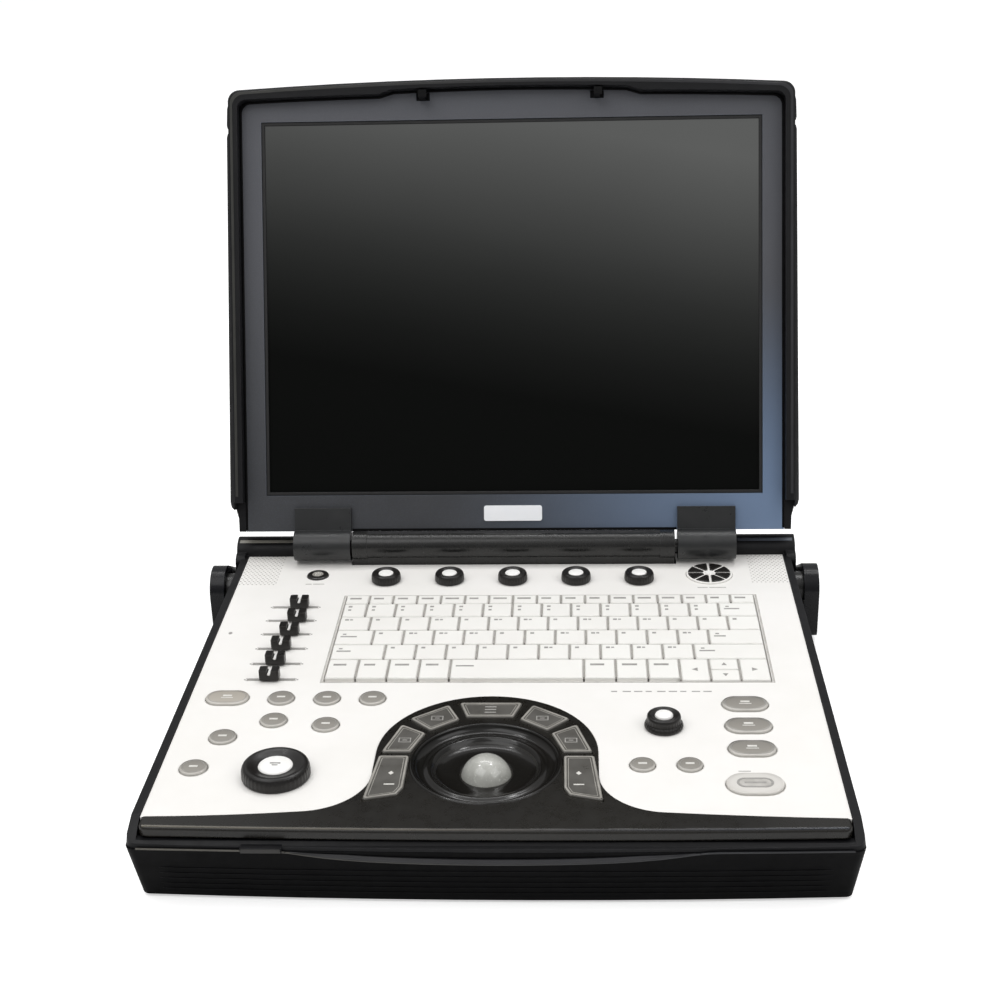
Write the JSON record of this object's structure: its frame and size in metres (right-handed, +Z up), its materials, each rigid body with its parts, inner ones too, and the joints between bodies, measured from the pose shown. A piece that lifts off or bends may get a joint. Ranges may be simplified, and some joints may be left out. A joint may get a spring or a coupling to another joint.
{
  "type": "portable ultrasound scanner",
  "caption": "Portable clam-shell ultrasound scanner: tilting display lid over a white control panel with trackball, keyboard, sliders and knobs, and a swinging carry handle.",
  "frame": {"origin": "middle of the bounding box at rest (lid open), on the table plane under the rubber feet", "axes": "+Z up, +X to the operator's right, +Y towards the rear (operator sits at -Y)"},
  "size_m": [0.3708, 0.4256, 0.3228],
  "materials": {
    "shell_black": "fine moulded texture, satin",
    "panel_white": "smooth satin overlay",
    "palm_black": "soft gloss",
    "bezel_blue": "dark blue-grey metallic satin",
    "screen": "glossy display face",
    "rubber_black": "matt",
    "handle_black": "gloss",
    "key_white": "satin",
    "key_grey": "translucent satin grey",
    "key_dark": "satin dark grey",
    "knob_black": "soft-touch",
    "ball_grey": "polished",
    "badge": "bright satin",
    "steel": "ground",
    "board_green": "solder mask"
  },
  "bodies": {
    "base": {"base_lower_shell": "shell_black", "top_housing": "shell_black", "control_panel": "panel_white", "palm_rest": "palm_black", "hinge_drum_cover": "shell_black", "main_board": "board_green", "battery_pack": "shell_black", "probe_connector": "shell_black", "speakers": "shell_black", "rubber_feet": "rubber_black", "base_screws": "steel", "pivot_pins": "steel", "knob_encoders": "shell_black", "trackball_seat": "shell_black"},
    "lid": {"lid_back_cover": "shell_black", "lid_bezel": "bezel_blue", "lcd_panel": "screen", "lid_side_bumpers": "rubber_black", "hinge_covers": "shell_black", "badge_plate": "badge"},
    "latch": {"latch_hooks": "shell_black"},
    "handle": {"carry_handle": "handle_black"},
    "keys": {"keyboard_keys": "key_white"},
    "ball": {"trackball": "ball_grey"},
    "slider_1": {"gain_slider_1": "knob_black"},
    "slider_2": {"gain_slider_2": "knob_black"},
    "slider_3": {"gain_slider_3": "knob_black"},
    "slider_4": {"gain_slider_4": "knob_black"},
    "slider_5": {"gain_slider_5": "knob_black"},
    "slider_6": {"gain_slider_6": "knob_black"},
    "menu_1": {"menu_knob_1": "knob_black"},
    "menu_2": {"menu_knob_2": "knob_black"},
    "menu_3": {"menu_knob_3": "knob_black"},
    "menu_4": {"menu_knob_4": "knob_black"},
    "menu_5": {"menu_knob_5": "knob_black"},
    "dial": {"gain_dial": "knob_black"},
    "side": {"side_knob": "knob_black"},
    "left_button_1_body": {"left_button_1": "key_grey"},
    "left_button_2_body": {"left_button_2": "key_grey"},
    "left_button_3_body": {"left_button_3": "key_grey"},
    "left_button_4_body": {"left_button_4": "key_grey"},
    "left_button_5_body": {"left_button_5": "key_grey"},
    "left_button_6_body": {"left_button_6": "key_grey"},
    "left_button_7_body": {"left_button_7": "key_grey"},
    "left_button_8_body": {"left_button_8": "key_grey"},
    "round_button_1_body": {"round_button_1": "key_grey"},
    "round_button_2_body": {"round_button_2": "key_grey"},
    "wide_button_1_body": {"wide_button_1": "key_grey"},
    "wide_button_2_body": {"wide_button_2": "key_grey"},
    "wide_button_3_body": {"wide_button_3": "key_grey"},
    "freeze_button_body": {"freeze_button": "key_grey"},
    "power_button_body": {"power_button": "knob_black"},
    "direction_pad_body": {"direction_pad": "knob_black"},
    "arc_key_1_body": {"arc_key_1": "key_dark"},
    "arc_key_2_body": {"arc_key_2": "key_dark"},
    "arc_key_3_body": {"arc_key_3": "key_dark"},
    "arc_key_4_body": {"arc_key_4": "key_dark"},
    "arc_key_5_body": {"arc_key_5": "key_dark"},
    "arc_key_6_body": {"arc_key_6": "key_dark"},
    "arc_key_7_body": {"arc_key_7": "key_dark"}
  },
  "joints": [
    {"name": "lid_fold", "type": "hinge", "parent": "base", "child": "lid", "pos_m": [0, 0.0891, 0.053], "axis": [1, 0, 0], "range_deg": [-25, 110]},
    {"name": "latch_slide", "type": "slide", "parent": "lid", "child": "latch", "axis": [1, 0, 0], "range_m": [-0.002, 0.002]},
    {"name": "handle_swing", "type": "hinge", "parent": "base", "child": "handle", "pos_m": [0, 0.0721, 0.032], "axis": [1, 0, 0], "range_deg": [0, 25]},
    {"name": "keys_press", "type": "slide", "parent": "base", "child": "keys", "axis": [0, 0, 1], "range_m": [-0.001, 0]},
    {"name": "ball_roll", "type": "hinge", "parent": "base", "child": "ball", "pos_m": [-0.0055, -0.1483, 0.0329], "axis": [1, 0, 0], "continuous": true},
    {"name": "slider_1_travel", "type": "slide", "parent": "base", "child": "slider_1", "axis": [1, 0, 0], "range_m": [-0.0142, 0.009]},
    {"name": "slider_2_travel", "type": "slide", "parent": "base", "child": "slider_2", "axis": [1, 0, 0], "range_m": [-0.0154, 0.0078]},
    {"name": "slider_3_travel", "type": "slide", "parent": "base", "child": "slider_3", "axis": [1, 0, 0], "range_m": [-0.0136, 0.0096]},
    {"name": "slider_4_travel", "type": "slide", "parent": "base", "child": "slider_4", "axis": [1, 0, 0], "range_m": [-0.0116, 0.0116]},
    {"name": "slider_5_travel", "type": "slide", "parent": "base", "child": "slider_5", "axis": [1, 0, 0], "range_m": [-0.0113, 0.0119]},
    {"name": "slider_6_travel", "type": "slide", "parent": "base", "child": "slider_6", "axis": [1, 0, 0], "range_m": [-0.011, 0.0122]},
    {"name": "menu_1_turn", "type": "hinge", "parent": "base", "child": "menu_1", "pos_m": [-0.0766, 0.0609, 0.046], "axis": [0, 0, 1], "continuous": true},
    {"name": "menu_2_turn", "type": "hinge", "parent": "base", "child": "menu_2", "pos_m": [-0.0379, 0.0609, 0.046], "axis": [0, 0, 1], "continuous": true},
    {"name": "menu_3_turn", "type": "hinge", "parent": "base", "child": "menu_3", "pos_m": [0.0005, 0.0609, 0.046], "axis": [0, 0, 1], "continuous": true},
    {"name": "menu_4_turn", "type": "hinge", "parent": "base", "child": "menu_4", "pos_m": [0.0389, 0.0609, 0.046], "axis": [0, 0, 1], "continuous": true},
    {"name": "menu_5_turn", "type": "hinge", "parent": "base", "child": "menu_5", "pos_m": [0.077, 0.0609, 0.046], "axis": [0, 0, 1], "continuous": true},
    {"name": "dial_turn", "type": "hinge", "parent": "base", "child": "dial", "pos_m": [-0.108, -0.1601, 0.046], "axis": [0, 0, 1], "continuous": true},
    {"name": "side_turn", "type": "hinge", "parent": "base", "child": "side", "pos_m": [0.0838, -0.1129, 0.046], "axis": [0, 0, 1], "continuous": true},
    {"name": "left_button_1_press", "type": "slide", "parent": "base", "child": "left_button_1_body", "axis": [0, 0, 1], "range_m": [-0.001, 0]},
    {"name": "left_button_2_press", "type": "slide", "parent": "base", "child": "left_button_2_body", "axis": [0, 0, 1], "range_m": [-0.001, 0]},
    {"name": "left_button_3_press", "type": "slide", "parent": "base", "child": "left_button_3_body", "axis": [0, 0, 1], "range_m": [-0.001, 0]},
    {"name": "left_button_4_press", "type": "slide", "parent": "base", "child": "left_button_4_body", "axis": [0, 0, 1], "range_m": [-0.001, 0]},
    {"name": "left_button_5_press", "type": "slide", "parent": "base", "child": "left_button_5_body", "axis": [0, 0, 1], "range_m": [-0.001, 0]},
    {"name": "left_button_6_press", "type": "slide", "parent": "base", "child": "left_button_6_body", "axis": [0, 0, 1], "range_m": [-0.001, 0]},
    {"name": "left_button_7_press", "type": "slide", "parent": "base", "child": "left_button_7_body", "axis": [0, 0, 1], "range_m": [-0.001, 0]},
    {"name": "left_button_8_press", "type": "slide", "parent": "base", "child": "left_button_8_body", "axis": [0, 0, 1], "range_m": [-0.001, 0]},
    {"name": "round_button_1_press", "type": "slide", "parent": "base", "child": "round_button_1_body", "axis": [0, 0, 1], "range_m": [-0.001, 0]},
    {"name": "round_button_2_press", "type": "slide", "parent": "base", "child": "round_button_2_body", "axis": [0, 0, 1], "range_m": [-0.001, 0]},
    {"name": "wide_button_1_press", "type": "slide", "parent": "base", "child": "wide_button_1_body", "axis": [0, 0, 1], "range_m": [-0.001, 0]},
    {"name": "wide_button_2_press", "type": "slide", "parent": "base", "child": "wide_button_2_body", "axis": [0, 0, 1], "range_m": [-0.001, 0]},
    {"name": "wide_button_3_press", "type": "slide", "parent": "base", "child": "wide_button_3_body", "axis": [0, 0, 1], "range_m": [-0.001, 0]},
    {"name": "freeze_button_press", "type": "slide", "parent": "base", "child": "freeze_button_body", "axis": [0, 0, 1], "range_m": [-0.001, 0]},
    {"name": "power_button_press", "type": "slide", "parent": "base", "child": "power_button_body", "axis": [0, 0, 1], "range_m": [-0.0008, 0]},
    {"name": "direction_pad_press", "type": "slide", "parent": "base", "child": "direction_pad_body", "axis": [0, 0, 1], "range_m": [-0.0008, 0]},
    {"name": "arc_key_1_press", "type": "slide", "parent": "base", "child": "arc_key_1_body", "axis": [0, 0, 1], "range_m": [-0.001, 0]},
    {"name": "arc_key_2_press", "type": "slide", "parent": "base", "child": "arc_key_2_body", "axis": [0, 0, 1], "range_m": [-0.001, 0]},
    {"name": "arc_key_3_press", "type": "slide", "parent": "base", "child": "arc_key_3_body", "axis": [0, 0, 1], "range_m": [-0.001, 0]},
    {"name": "arc_key_4_press", "type": "slide", "parent": "base", "child": "arc_key_4_body", "axis": [0, 0, 1], "range_m": [-0.001, 0]},
    {"name": "arc_key_5_press", "type": "slide", "parent": "base", "child": "arc_key_5_body", "axis": [0, 0, 1], "range_m": [-0.001, 0]},
    {"name": "arc_key_6_press", "type": "slide", "parent": "base", "child": "arc_key_6_body", "axis": [0, 0, 1], "range_m": [-0.001, 0]},
    {"name": "arc_key_7_press", "type": "slide", "parent": "base", "child": "arc_key_7_body", "axis": [0, 0, 1], "range_m": [-0.001, 0]}
  ]
}
